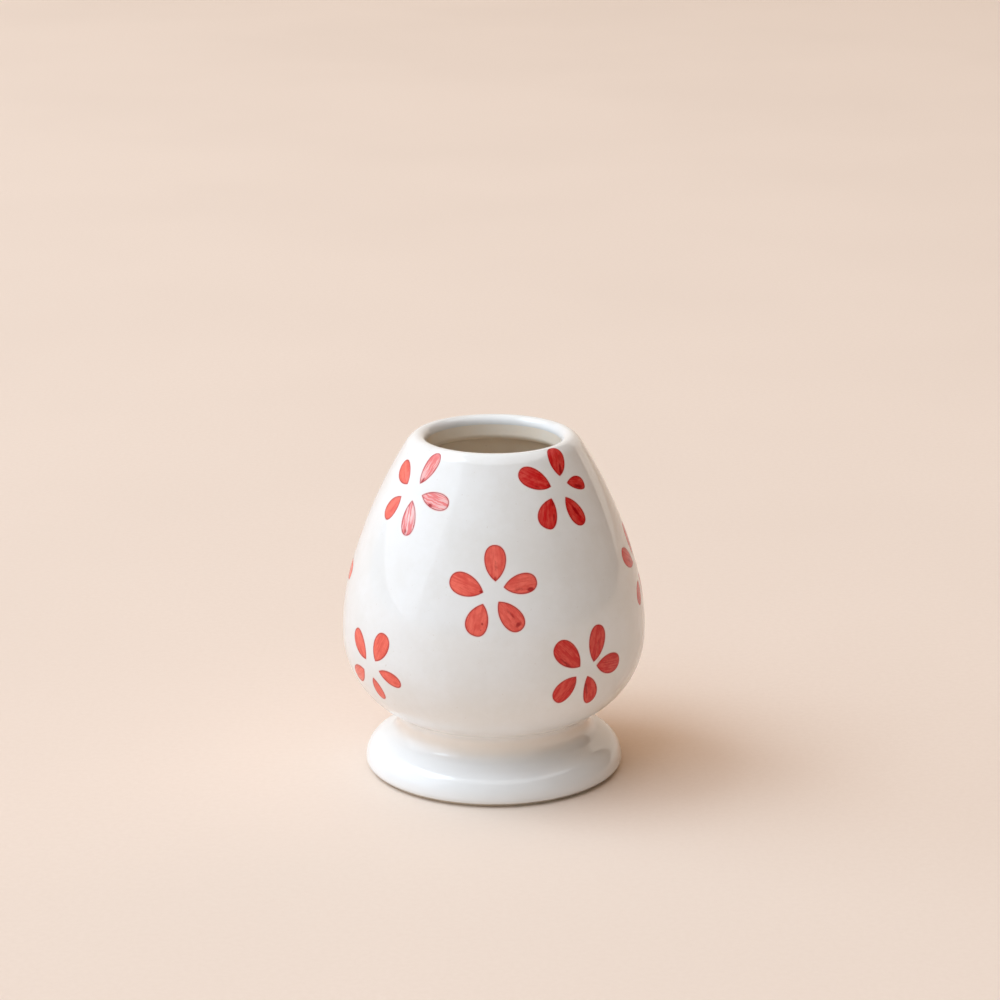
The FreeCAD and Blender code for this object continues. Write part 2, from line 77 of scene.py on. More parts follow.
# The five strokes of a flower: the bearing of its root from the flower's middle, the bearing that it points
# along, and in petal lengths its root's distance, its length and its bulge to the left and to the right
STROKES = {
    "front": [
        (31, 6, 0.35, 0.95, 0.31, 0.265),
        (77, 92, 0.35, 1.00, 0.30, 0.325),
        (171, 160, 0.26, 1.00, 0.32, 0.315),
        (226, 259, 0.375, 0.92, 0.245, 0.37),
        (308, 307, 0.26, 1.005, 0.30, 0.285),
    ],
    "upper_left": [
        (-9, -11, 0.35, 0.94, 0.27, 0.215),
        (62, 74, 0.27, 1.00, 0.235, 0.235),
        (162, 143, 0.38, 0.86, 0.295, 0.26),
        (211, 244, 0.50, 0.84, 0.195, 0.295),
        (285, 280, 0.27, 1.00, 0.235, 0.235),
    ],
    "upper_right": [
        (17, -19, 0.34, 0.73, 0.26, 0.135),
        (65, 74, 0.365, 0.88, 0.34, 0.275),
        (160, 150, 0.27, 1.01, 0.285, 0.325),
        (213, 251, 0.415, 0.89, 0.195, 0.36),
        (293, 293, 0.29, 0.93, 0.235, 0.265),
    ],
    "lower_left": [
        (12, -17, 0.39, 0.85, 0.215, 0.19),
        (54, 64, 0.42, 0.955, 0.305, 0.285),
        (125, 128, 0.335, 0.945, 0.305, 0.24),
        (193, 210, 0.375, 0.85, 0.265, 0.25),
        (282, 283, 0.22, 0.72, 0.225, 0.19),
    ],
    "lower_right": [
        (5, -7, 0.335, 0.98, 0.30, 0.30),
        (34, 75, 0.28, 1.05, 0.30, 0.30),
        (155, 133, 0.27, 1.06, 0.34, 0.32),
        (202, 235, 0.395, 0.91, 0.225, 0.38),
        (274, 288, 0.21, 1.02, 0.27, 0.225),
    ],
    "side": [
        (3, -5, 0.34, 0.98, 0.29, 0.27),
        (72, 80, 0.33, 1.00, 0.29, 0.29),
        (136, 146, 0.285, 0.945, 0.31, 0.255),
        (240, 237, 0.39, 0.75, 0.205, 0.265),
        (303, 300, 0.30, 0.97, 0.28, 0.28),
    ],
}

# Where the colour gathers in each stroke: along it and to its left, and how far it spreads along and
# across, all in petal lengths, and how strong it is
POOLS = {
    "front": [
        [(0.74, -0.17, 0.12, 0.07, 1.0), (0.42, -0.12, 0.25, 0.07, 0.5)],
        [(0.45, -0.03, 0.28, 0.06, 0.5), (0.08, 0.0, 0.10, 0.05, 0.6)],
        [(0.06, 0.0, 0.06, 0.05, 1.0)],
        [(0.55, 0.10, 0.04, 0.03, 1.0), (0.72, 0.08, 0.03, 0.03, 0.7), (0.35, 0.0, 0.2, 0.04, 0.3)],
        [(0.84, 0.03, 0.07, 0.09, 0.9), (0.50, 0.05, 0.26, 0.05, 0.6)],
    ],
    "upper_left": [
        [(0.42, -0.15, 0.10, 0.05, 0.9)],
        [(0.10, -0.03, 0.12, 0.05, 0.9)],
        [],
        [],
        [(0.88, -0.05, 0.10, 0.06, 0.7)],
    ],
    "upper_right": [
        [(0.45, -0.04, 0.22, 0.06, 0.9)],
        [(0.20, -0.05, 0.20, 0.06, 1.0), (0.50, -0.10, 0.22, 0.05, 0.5)],
        [(0.05, 0.0, 0.10, 0.06, 1.0), (0.35, 0.16, 0.25, 0.04, 0.6)],
        [(0.52, 0.10, 0.14, 0.025, 1.0), (0.12, 0.04, 0.15, 0.05, 0.7)],
        [(0.50, 0.02, 0.30, 0.05, 0.9), (0.86, 0.0, 0.08, 0.07, 0.6)],
    ],
    "lower_left": [
        [],
        [(0.30, 0.0, 0.20, 0.03, 0.3)],
        [(0.10, 0.0, 0.10, 0.04, 0.3)],
        [],
        [(0.50, 0.0, 0.20, 0.03, 0.3)],
    ],
    "lower_right": [
        [(0.40, 0.04, 0.16, 0.06, 0.5)],
        [(0.45, -0.06, 0.30, 0.05, 0.5)],
        [(0.35, 0.22, 0.34, 0.04, 1.0)],
        [(0.30, 0.08, 0.26, 0.05, 0.5)],
        [(0.40, -0.10, 0.36, 0.06, 0.7)],
    ],
    "side": [
        [(0.40, 0.0, 0.25, 0.05, 0.5)],
        [(0.45, -0.05, 0.25, 0.06, 0.5)],
        [(0.30, 0.05, 0.22, 0.06, 0.6)],
        [(0.50, 0.0, 0.25, 0.05, 0.5)],
        [(0.60, 0.05, 0.20, 0.06, 0.6)],
    ],
}

# How far each stroke is turned pale pink with paler streaks, in the sets that have any
PALE_STREAK_SHARES = {"upper_left": [0.85, 0.75, 0.0, 0.0, 1.0]}

# Each flower: its row, its lift over it in petal lengths, its azimuth, its strokes, how far they are turned,
# and how deep its red is, from 0 to 1
FLOWERS = {
    "flower_upper_left": ("upper", -0.06, -48.0, "upper_left", 0, 0.28),
    "flower_upper_right": ("upper", 0.11, 38.5, "upper_right", 0, 0.74),
    "flower_upper_back_right": ("upper", -0.08, 125.0, "front", 40, 0.40),
    "flower_upper_back_left": ("upper", 0.05, -141.0, "lower_right", 150, 0.30),
    "flower_middle_front": ("middle", 0.13, -0.5, "front", 0, 0.34),
    "flower_middle_right": ("middle", -0.20, 83.5, "side", 0, 0.60),
    "flower_middle_back": ("middle", 0.08, 168.0, "upper_right", 200, 0.50),
    "flower_middle_left": ("middle", -0.25, -99.0, "side", -3, 0.35),
    "flower_lower_left": ("lower", -0.18, -53.0, "lower_left", 0, 0.26),
    "flower_lower_right": ("lower", 0.17, 36.5, "lower_right", 0, 0.68),
    "flower_lower_back_right": ("lower", -0.05, 127.0, "lower_left", 75, 0.40),
    "flower_lower_back_left": ("lower", 0.12, -144.0, "front", -100, 0.35),
}

# How finely the coats are divided, in columns, millimetres and degrees, and the petals along and across
COLUMNS = 256
ROW_LENGTH = 0.9
ROW_ANGLE = 4.0
PETAL_STEPS = 40
PETAL_LANES = 12

# How near to a petal's edge the coat keeps no grid point, how many cells round a flower are looked at,
# and the distance from a petal that stands for none near
OUTLINE_CLEARANCE = 0.3
CELL_MARGIN = 2
NO_HALO = 5.0
CDT_EPSILON = 1e-6
CLIMB_STEPS = 48
TINY = 1e-12


def cosine(degrees):
    return math.cos(math.radians(degrees))


def sine(degrees):
    return math.sin(math.radians(degrees))


def bearing_of(rise, run):
    return math.degrees(math.atan2(rise, run))


def work_out(sizes):
    """The centres and angles of the meridian, worked out as in the CAD."""
    at = dict(sizes)
    at["belly_edge"] = at["belly_diameter"] / 2
    at["mouth_edge"] = at["mouth_diameter"] / 2
    rounds = at["cove_radius"] + at["foot_shoulder_radius"]
    slope_run, slope_rise = cosine(FLARE_SLOPE), sine(FLARE_SLOPE)
    at["flare_normal"] = 90 - FLARE_SLOPE
    at["cove_x"] = at["neck_diameter"] / 2 + at["cove_radius"]
    at["cove_z"] = at["foot_edge_height"] + rounds * slope_run + at["flare_length"] * slope_rise
    at["foot_shoulder_x"] = at["cove_x"] + at["flare_length"] * slope_run - rounds * slope_rise
    at["foot_shoulder_z"] = at["foot_edge_height"]
    at["foot_edge"] = at["foot_shoulder_x"] + at["foot_shoulder_radius"]
    at["foot_edge_x"] = at["foot_edge"] - at["foot_edge_radius"]
    at["foot_edge_z"] = at["foot_edge_height"]
    at["low_belly_x"] = at["belly_edge"] - at["lower_belly_radius"]
    reach = at["lower_belly_radius"] + at["cove_radius"]
    at["low_belly_z"] = at["cove_z"] + math.sqrt(reach ** 2 - (at["cove_x"] - at["low_belly_x"]) ** 2)
    at["cove_turn"] = bearing_of(at["low_belly_z"] - at["cove_z"], at["low_belly_x"] - at["cove_x"])
    at["belly_x"] = at["belly_edge"] - at["belly_radius"]
    at["belly_z"] = at["low_belly_z"]
    at["crest_x"] = at["mouth_edge"] + at["lip_crest_radius"]
    at["crest_z"] = at["total_height"] - at["lip_crest_radius"]
    crest_edge = at["crest_x"] + at["lip_crest_radius"]
    lean = bearing_of(at["belly_edge"] - crest_edge, at["crest_z"] - at["belly_z"])
    at["belly_turn"] = BELLY_TURN_SHARE * lean
    run, rise = cosine(at["belly_turn"]), sine(at["belly_turn"])
    top_x = at["belly_x"] + at["belly_radius"] * run
    top_z = at["belly_z"] + at["belly_radius"] * rise
    top_turn = 2 * bearing_of(top_x - crest_edge, at["crest_z"] - top_z) - at["belly_turn"]
    at["crest_angle"] = top_turn + CREST_TURN_SHARE * (90 - top_turn)
    lip_step = at["lip_shoulder_radius"] - at["lip_crest_radius"]
    at["lip_x"] = at["crest_x"] - lip_step * cosine(at["crest_angle"])
    at["lip_z"] = at["crest_z"] - lip_step * sine(at["crest_angle"])
    depth = (top_x - at["lip_x"]) * run + (top_z - at["lip_z"]) * rise
    apart = math.hypot(top_x - at["lip_x"], top_z - at["lip_z"])
    lip_radius = at["lip_shoulder_radius"]
    at["shoulder_radius"] = (apart ** 2 - lip_radius ** 2) / (2 * (depth - lip_radius))
    at["shoulder_x"] = top_x - at["shoulder_radius"] * run
    at["shoulder_z"] = top_z - at["shoulder_radius"] * rise
    at["shoulder_turn"] = bearing_of(at["lip_z"] - at["shoulder_z"], at["lip_x"] - at["shoulder_x"])
    at["throat_x"] = at["mouth_edge"] + at["throat_radius"]
    inner = at["shoulder_radius"] - at["wall_thickness"]
    throat_apart = inner - at["throat_bead"] + at["throat_radius"]
    throat_run = at["throat_x"] - at["shoulder_x"]
    at["throat_z"] = at["shoulder_z"] + math.sqrt(throat_apart ** 2 - throat_run ** 2)
    under_apart = inner - at["under_lip_radius"]
    under_rounds = at["throat_radius"] + at["under_lip_radius"]
    along = (under_apart ** 2 - under_rounds ** 2 + throat_apart ** 2) / (2 * throat_apart)
    aside = math.sqrt(under_apart ** 2 - along ** 2)
    bearing = bearing_of(at["throat_z"] - at["shoulder_z"], throat_run)
    at["under_lip_x"] = at["shoulder_x"] + along * cosine(bearing) + aside * sine(bearing)
    at["under_lip_z"] = at["shoulder_z"] + along * sine(bearing) - aside * cosine(bearing)
    at["under_turn"] = bearing_of(at["under_lip_z"] - at["shoulder_z"], at["under_lip_x"] - at["shoulder_x"])
    under_run = at["under_lip_x"] - at["throat_x"]
    at["throat_turn"] = 360 + bearing_of(at["under_lip_z"] - at["throat_z"], under_run)
    return at


AT = work_out(SIZES)


def arc(centre, radius, start, end, facing=1):
    """An arc of the meridian. It faces away from its centre, or with facing -1 towards it."""
    middle = np.array([AT[f"{centre}_x"], AT[f"{centre}_z"]])
    turn = math.radians(end - start)

    def place(share):
        angle = math.radians(start) + turn * np.asarray(share)
        out = np.stack([np.cos(angle), np.sin(angle)], axis=-1)
        return middle + radius * out, facing * out

    return abs(turn) * radius, abs(end - start), place


def line(start, end, facing):
    """A straight run of the meridian that faces along an angle."""
    start, end = np.array(start), np.array(end)
    normal = np.array([cosine(facing), sine(facing)])

    def place(share):
        share = np.asarray(share)[..., None]
        return start + (end - start) * share, np.broadcast_to(normal, (*share.shape[:-1], 2))

    return float(np.linalg.norm(end - start)), 0.0, place


class Face:
    """The visible face of a coat in the meridian plane, measured along itself."""

    def __init__(self, *runs):
        self.runs = runs
        self.starts = np.concatenate([[0], np.cumsum([run[0] for run in runs])])

    def at(self, distance):
        """Places and normals at some distances along the face."""
        distance = np.atleast_1d(np.asarray(distance, float))
        number = np.clip(np.searchsorted(self.starts, distance, side="right") - 1, 0, len(self.runs) - 1)
        place = np.zeros((len(distance), 2))
        normal = np.zeros((len(distance), 2))
        for index, (length, _, where) in enumerate(self.runs):
            chosen = number == index
            share = (distance[chosen] - self.starts[index]) / length
            place[chosen], normal[chosen] = where(share)
        return place, normal

    def rows(self):
        """Distances of the rows, their places, and the normals at the two ends of each strip."""
        distances, places, low, high = [0.0], [self.runs[0][2](0.0)[0]], [], []
        for start, (length, turn, where) in zip(self.starts, self.runs):
            steps = max(1, math.ceil(length / ROW_LENGTH), math.ceil(turn / ROW_ANGLE))
            share = np.linspace(0, 1, steps + 1)
            place, normal = where(share)
            distances.extend(start + share[1:] * length)
            places.extend(place[1:])
            low.extend(normal[:-1])
            high.extend(normal[1:])
        return np.array(distances), np.array(places), np.array(low), np.array(high)


def polar(centre, radius, degrees):
    return AT[f"{centre}_x"] + radius * cosine(degrees), AT[f"{centre}_z"] + radius * sine(degrees)


def outer_face():
    shoulder, cove, flare = AT["foot_shoulder_radius"], AT["cove_radius"], AT["flare_normal"]
    return Face(
        arc("foot_edge", AT["foot_edge_radius"], -GLAZE_STOP_ANGLE, 0),
        arc("foot_shoulder", shoulder, 0, flare),
        line(polar("foot_shoulder", shoulder, flare), polar("cove", cove, flare + 180), flare),
        arc("cove", cove, flare + 180, AT["cove_turn"], -1),
        arc("low_belly", AT["lower_belly_radius"], AT["cove_turn"] - 180, 0),
        arc("belly", AT["belly_radius"], 0, AT["belly_turn"]),
        arc("shoulder", AT["shoulder_radius"], AT["belly_turn"], AT["shoulder_turn"]),
        arc("lip", AT["lip_shoulder_radius"], AT["shoulder_turn"], AT["crest_angle"]),
        arc("crest", AT["lip_crest_radius"], AT["crest_angle"], 180),
    )


def liner_face():
    wall, edge = AT["wall_thickness"], AT["mouth_edge"]
    floor = AT["low_belly_z"] - AT["lower_belly_radius"] + wall
    return Face(
        line((edge, AT["crest_z"]), (edge, AT["throat_z"]), 180),
        arc("throat", AT["throat_radius"], 180, AT["throat_turn"]),
        arc("under_lip", AT["under_lip_radius"], AT["throat_turn"] - 180, AT["under_turn"], -1),
        arc("shoulder", AT["shoulder_radius"] - wall, AT["under_turn"], AT["belly_turn"], -1),
        arc("belly", AT["belly_radius"] - wall, AT["belly_turn"], 0, -1),
        arc("low_belly", AT["lower_belly_radius"] - wall, 0, -90, -1),
        line((AT["low_belly_x"], floor), (0, floor), 90),
    )


def underside_face():
    wall, glaze, flare = AT["foot_wall"], AT["glaze_thickness"], AT["flare_normal"]
    edge = AT["foot_edge"] - wall
    inner, outer = AT["foot_shoulder_radius"] - wall, AT["cove_radius"] + wall
    ceiling = AT["cove_z"] - glaze
    corner = 180 + math.degrees(math.asin(glaze / outer))
    return Face(
        line((edge, AT["bare_height"]), (edge, AT["foot_shoulder_z"]), 180),
        arc("foot_shoulder", inner, 0, flare, -1),
        line(polar("foot_shoulder", inner, flare), polar("cove", outer, flare + 180), flare + 180),
        arc("cove", outer, flare + 180, corner),
        line(polar("cove", outer, corner), (0, ceiling), -90),
    )


def turned(flat, azimuth):
    """Points or directions of the meridian plane, turned to an azimuth, 0 at the front."""
    across, up = flat[..., 0], flat[..., 1]
    return np.stack([across * np.sin(azimuth), -across * np.cos(azimuth), up + 0 * azimuth], axis=-1)


class Shell:
    """A closed coat in the making: its points, its faces, and a normal for each face's corner."""

    def __init__(self):
        self.points = []
        self.count = 0
        self.faces = []
        self.normals = []
        self.smooth = []

    def add_points(self, points):
        """Adds a block of points in millimetres, and returns the number of its first."""
        first = self.count
        self.points.append(np.asarray(points).reshape(-1, 3))
        self.count += len(self.points[-1])
        return first

    def add_face(self, corners, normals, smooth=True):
        """Adds a face. A face whose corners meet at the axis or at a petal's end loses the repeats."""
        kept = [k for k in range(len(corners)) if corners[k] != corners[k - 1]]
        if len(kept) > 2:
            self.faces.append([corners[k] for k in kept])
            self.normals.extend(normals[k] for k in kept)
            self.smooth.append(smooth)

    def add_wall(self, ring, other):
        """A wall from a ring of points to the ring under it. The face it bounds is on the ring's left."""
        points = np.concatenate(self.points)
        for k in range(len(ring)):
            after = (k + 1) % len(ring)
            corners = [ring[k], other[k], other[after], ring[after]]
            start = points[corners[0]]
            normal = np.cross(points[corners[1]] - start, points[corners[3]] - start)
            normal = normal / max(np.linalg.norm(normal), TINY)
            self.add_face(corners, [normal] * 4, False)

    def piece(self, name, values=None):
        """The mesh object, with its values for each point."""
        mesh = bpy.data.meshes.new(name)
        points = np.concatenate(self.points) * MM
        mesh.from_pydata(points.tolist(), [], self.faces)
        mesh.polygons.foreach_set("use_smooth", self.smooth)
        mesh.normals_split_custom_set([tuple(normal) for normal in self.normals])
        for key, (kind, data) in (values or {}).items():
            attribute = mesh.attributes.new(key, kind, "POINT")
            field = "vector" if kind == "FLOAT_VECTOR" else "value"
            attribute.data.foreach_set(field, np.asarray(data, np.float32).ravel())
        piece = bpy.data.objects.new(name, mesh)
        bpy.context.scene.collection.objects.link(piece)
        return piece


def lathe(name, face):
    """A coat turned all the way round. Its face runs from its edge to the axis."""
    shell = Shell()
    _, places, low, high = face.rows()
    azimuths = np.arange(COLUMNS) * 2 * math.pi / COLUMNS
    back = places - AT["glaze_thickness"] * np.concatenate([low, high[-1:]])
    for flat in (places, back):
        shell.add_points(turned(np.broadcast_to(flat[:, None], (len(flat), COLUMNS, 2)), azimuths[None, :]))
    rows = len(places)

    def number(side, row, column):
        at_axis = row == rows - 1
        return side * rows * COLUMNS + row * COLUMNS + (0 if at_axis else column)

    lows = turned(np.broadcast_to(low[:, None], (rows - 1, COLUMNS, 2)), azimuths[None, :])
    highs = turned(np.broadcast_to(high[:, None], (rows - 1, COLUMNS, 2)), azimuths[None, :])
    # the faces wind one way where the visible side is on the right of the run, and the other way on its left
    run = places[1] - places[0]
    to_right = low[0][0] * run[1] - low[0][1] * run[0] > 0
    for row in range(rows - 1):
        for column in range(COLUMNS):
            after = (column + 1) % COLUMNS
            spots = [(row, column, lows[row, column]), (row, after, lows[row, after]),
                     (row + 1, after, highs[row, after]), (row + 1, column, highs[row, column])]
            if not to_right:
                spots.reverse()
            shell.add_face([number(0, r, c) for r, c, _ in spots], [n for _, _, n in spots])
            spots.reverse()
            shell.add_face([number(1, r, c) for r, c, _ in spots], [-n for _, _, n in spots])
    ring = [number(0, 0, column) for column in range(COLUMNS)]
    under = [number(1, 0, column) for column in range(COLUMNS)]
    if not to_right:
        ring.reverse()
        under.reverse()
    shell.add_wall(ring, under)
    return shell.piece(name)


OUTER = outer_face()
LOW_BELLY_RUN = 4
CREST_RUN = 8


def distance_at(height):
    """How far along the outer face the bulb reaches a height."""
    low = OUTER.starts[LOW_BELLY_RUN]
    high = OUTER.starts[CREST_RUN] + math.radians(90 - AT["crest_angle"]) * AT["lip_crest_radius"]
    for _ in range(CLIMB_STEPS):
        middle = (low + high) / 2
        if OUTER.at(middle)[0][0][1] < height:
            low = middle
        else:
            high = middle
    return (low + high) / 2


def stroke_outline(stroke, share, side):
    """A petal's edge in millimetres along and across it, on its left with side 1 and on its right with -1."""
    _, _, _, length, left, right = stroke
    petal = PETAL_LENGTH_SHARE * (AT["crest_z"] - AT["cove_z"])
    length, bulge = length * petal, (left if side > 0 else right) * petal
    early, late = 3 * (1 - share) ** 2 * share, 3 * (1 - share) * share ** 2
    along = early * ROOT_HANDLE_SHARE * length + late * length + share ** 3 * length
    return along, (early + late) * HANDLE_RISE * bulge * side


class Stroke:
    """One painted petal on the outer face, as a grid from its root to its tip and from right to left."""

    def __init__(self, flower, number):
        row, lift, azimuth, kind, turned_by, self.tone = FLOWERS[flower]
        stroke = STROKES[kind][number]
        petal = PETAL_LENGTH_SHARE * (AT["crest_z"] - AT["cove_z"])
        height = AT["cove_z"] + ROW_SHARES[row] * (AT["crest_z"] - AT["cove_z"])
        self.middle = distance_at(height) + lift * petal
        self.azimuth = math.radians(azimuth)
        share = np.linspace(0, 1, PETAL_STEPS + 1)[:, None]
        lane = np.linspace(0, 1, PETAL_LANES + 1)[None, :]
        left_along, left = stroke_outline(stroke, share, 1)
        _, right = stroke_outline(stroke, share, -1)
        self.along = left_along + 0 * lane
        self.across = right + (left - right) * lane
        root_bearing, bearing, reach = stroke[:3]
        root = np.array([cosine(root_bearing + turned_by), sine(root_bearing + turned_by)]) * reach * petal
        ahead = np.array([cosine(bearing + turned_by), sine(bearing + turned_by)])
        aside = np.array([-ahead[1], ahead[0]])
        flat = root + self.along[..., None] * ahead + self.across[..., None] * aside
        self.distance = self.middle + flat[..., 1]
        radius = OUTER.at(self.middle)[0][0][0]
        radii = OUTER.at(self.distance.ravel())[0][:, 0].reshape(self.distance.shape)
        self.turn = self.azimuth + flat[..., 0] / ((radius + radii) / 2)
        self.radius = radius
        self.petal = petal
        self.pools = POOLS[kind][number]
        self.paleness = PALE_STREAK_SHARES[kind][number] if kind in PALE_STREAK_SHARES else 0.0

    def ring(self):
        """Grid places round the edge, anticlockwise from the root: up the right side and back on the left."""
        up = [(step, 0) for step in range(PETAL_STEPS + 1)]
        back = [(step, PETAL_LANES) for step in range(PETAL_STEPS - 1, 0, -1)]
        return up + back

    def edge(self):
        """The edge as azimuths and distances along the face."""
        places = self.ring()
        return np.array([[self.turn[place], self.distance[place]] for place in places])


STROKES_EACH = 5
STROKE_LIST = {flower: [Stroke(flower, number) for number in range(STROKES_EACH)] for flower in FLOWERS}


def inside(point, polygon):
    """Whether a flat point is inside a polygon."""
    x, y = point
    px, py = polygon[:, 0], polygon[:, 1]
    qx, qy = np.roll(px, -1), np.roll(py, -1)
    crosses = (py > y) != (qy > y)
    slope = np.where(crosses, (qx - px) * (y - py) / np.where(qy == py, 1, qy - py) + px, x - 1)
    return bool(np.count_nonzero(crosses & (x < slope)) % 2)


def distance_to_edges(points, polygon):
    """The distance from each flat point to the nearest edge of a polygon."""
    start, end = polygon, np.roll(polygon, -1, axis=0)
    run = end - start
    length = np.maximum((run ** 2).sum(1), TINY)
    offset = points[:, None] - start[None]
    share = np.clip((offset * run).sum(2) / length, 0, 1)
    return np.sqrt(((offset - share[..., None] * run) ** 2).sum(2)).min(1)


def outer_coat():
    """The outer coat, with a place left open for each petal."""
    shell = Shell()
    distances, places, low, high = OUTER.rows()
    normals = np.concatenate([low, high[-1:]])
    rows = len(places)
    step = 2 * math.pi / COLUMNS
    azimuths = np.arange(COLUMNS) * step
    glaze = AT["glaze_thickness"]
    layer = rows * COLUMNS
    for flat in (places, places - glaze * normals):
        shell.add_points(turned(np.broadcast_to(flat[:, None], (rows, COLUMNS, 2)), azimuths[None, :]))
    grid_normals = turned(np.broadcast_to(normals[:, None], (rows, COLUMNS, 2)), azimuths[None, :])
    normal_of = dict(enumerate(grid_normals.reshape(-1, 3)))
    below = {index: index + layer for index in range(layer)}
    halo = np.full(2 * layer, NO_HALO)
    halos = [halo]

    def both_sides(corners):
        shell.add_face(corners, [normal_of[index] for index in corners])
        back = corners[::-1]
        shell.add_face([below[index] for index in back], [-normal_of[index] for index in back])

    open_cells = set()
    for strokes in STROKE_LIST.values():
        middle = np.array([strokes[0].azimuth, strokes[0].middle])
        scale = np.array([strokes[0].radius, 1.0])
        edges = [stroke.edge() for stroke in strokes]
        flats = [(edge - middle) * scale for edge in edges]
        every = np.concatenate(edges)
        columns = range(math.floor(every[:, 0].min() / step) - CELL_MARGIN,
                        math.ceil(every[:, 0].max() / step) + CELL_MARGIN)
        row_range = range(max(0, np.searchsorted(distances, every[:, 1].min()) - 1 - CELL_MARGIN),
                          min(rows - 1, np.searchsorted(distances, every[:, 1].max()) + CELL_MARGIN))

        def spot(row, column):
            return (np.array([column * step, distances[row]]) - middle) * scale

        def gap_and_cover(spots):
            gaps = np.min([distance_to_edges(spots, flat) for flat in flats], axis=0)
            return gaps, [any(inside(point, flat) for flat in flats) for point in spots]

        # the cells that a petal covers or comes near are made again round its edge
        cells = [(row, column) for row in row_range for column in columns]
        corners = [np.array([spot(row, column), spot(row + 1, column + 1)]) for row, column in cells]
        centres = np.array([pair.mean(0) for pair in corners])
        reach = np.array([np.linalg.norm(pair[1] - pair[0]) / 2 for pair in corners]) + OUTLINE_CLEARANCE
        gaps, covered = gap_and_cover(centres)
        taken = {cell for cell, gap, far, under in zip(cells, gaps, reach, covered) if gap < far or under}
        open_cells |= {(row, column % COLUMNS) for row, column in taken}
        spots_used = sorted({(row + up, column + over) for row, column in taken
                             for up in (0, 1) for over in (0, 1)})
        spot_places = np.array([spot(*place) for place in spots_used])
        gaps, covered = gap_and_cover(spot_places)
        coords, owners, number = [], [], {}
        for place, point, gap, under in zip(spots_used, spot_places, gaps, covered):
            row, column = place
            around = {(row - up, column - over) for up in (0, 1) for over in (0, 1)}
            if around <= taken and (under or gap < OUTLINE_CLEARANCE):
                continue
            number[place] = len(coords)
            coords.append(point)
            index = row * COLUMNS + column % COLUMNS
            owners.append(index)
            halo[index] = gap
        links = []
        for row, column in taken:
            for neighbour, one, other in (((row - 1, column), (row, column), (row, column + 1)),
                                          ((row + 1, column), (row + 1, column), (row + 1, column + 1)),
                                          ((row, column - 1), (row, column), (row + 1, column)),
                                          ((row, column + 1), (row, column + 1), (row + 1, column + 1))):
                if neighbour not in taken:
                    links.append((number[one], number[other]))
        for edge, flat in zip(edges, flats):
            start, count = len(coords), len(edge)
            place, normal = OUTER.at(edge[:, 1])
            first = shell.add_points(turned(place, edge[:, 0]))
            under = shell.add_points(turned(place - glaze * normal, edge[:, 0]))
            for k, direction in enumerate(turned(normal, edge[:, 0])):
                normal_of[first + k] = direction
                below[first + k] = under + k
            halos.append(np.zeros(2 * count))
            coords.extend(flat)
            owners.extend(range(first, first + count))
            links += [(start + k, start + (k + 1) % count) for k in range(count)]
            ring = list(range(first, first + count))[::-1]
            shell.add_wall(ring, [below[index] for index in ring])
        result = delaunay_2d_cdt([Vector(point) for point in coords], links, [], 0, CDT_EPSILON)
        spots, triangles, origins = result[0], result[2], result[3]
        for triangle in triangles:
            centre = np.array(sum((spots[k] for k in triangle), Vector((0, 0))) / 3)
            turn, distance = centre / scale + middle
            cell = (int(np.searchsorted(distances, distance)) - 1, math.floor(turn / step))
            if cell in taken and not any(inside(centre, flat) for flat in flats):
                both_sides([owners[origins[k][0]] for k in triangle])
    for row in range(rows - 1):
        for column in range(COLUMNS):
            if (row, column) not in open_cells:
                after = (column + 1) % COLUMNS
                both_sides([row * COLUMNS + column, row * COLUMNS + after,
                            (row + 1) * COLUMNS + after, (row + 1) * COLUMNS + column])
    bottom = list(range(COLUMNS))
    top = [(rows - 1) * COLUMNS + column for column in range(COLUMNS)][::-1]
    for ring in (bottom, top):
        shell.add_wall(ring, [below[index] for index in ring])
    return shell.piece("glaze_outside", {"halo": ("FLOAT", np.concatenate(halos))})


